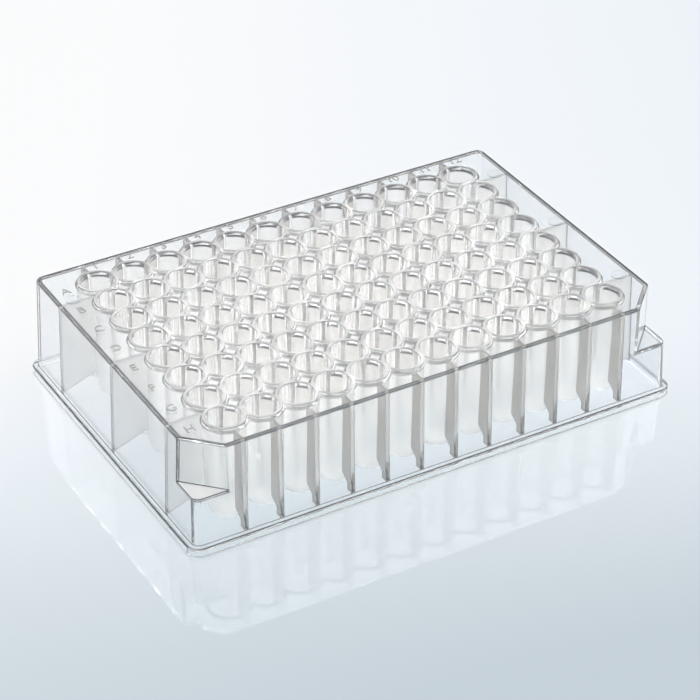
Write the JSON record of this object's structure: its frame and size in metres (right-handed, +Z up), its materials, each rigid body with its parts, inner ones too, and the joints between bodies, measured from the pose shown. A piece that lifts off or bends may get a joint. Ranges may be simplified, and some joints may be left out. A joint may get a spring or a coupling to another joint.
{
  "type": "deep-well microplate",
  "caption": "Clear deep-well storage plate with a grid of round-bottomed wells, a ribbed skirt, a stacking flange and two cut corners.",
  "frame": {"origin": "middle of the footprint, on the surface that the plate stands on", "axes": "+X along the long side from column 1 to column 12, +Y along the short side from row H to row A, +Z up out of the wells"},
  "size_m": [0.1278, 0.0854, 0.0266],
  "materials": {
    "clear_polypropylene": "clear, slightly milky moulded polypropylene with polished outer faces"
  },
  "bodies": {
    "root": {"well_plate": "clear_polypropylene"}
  },
  "joints": []
}
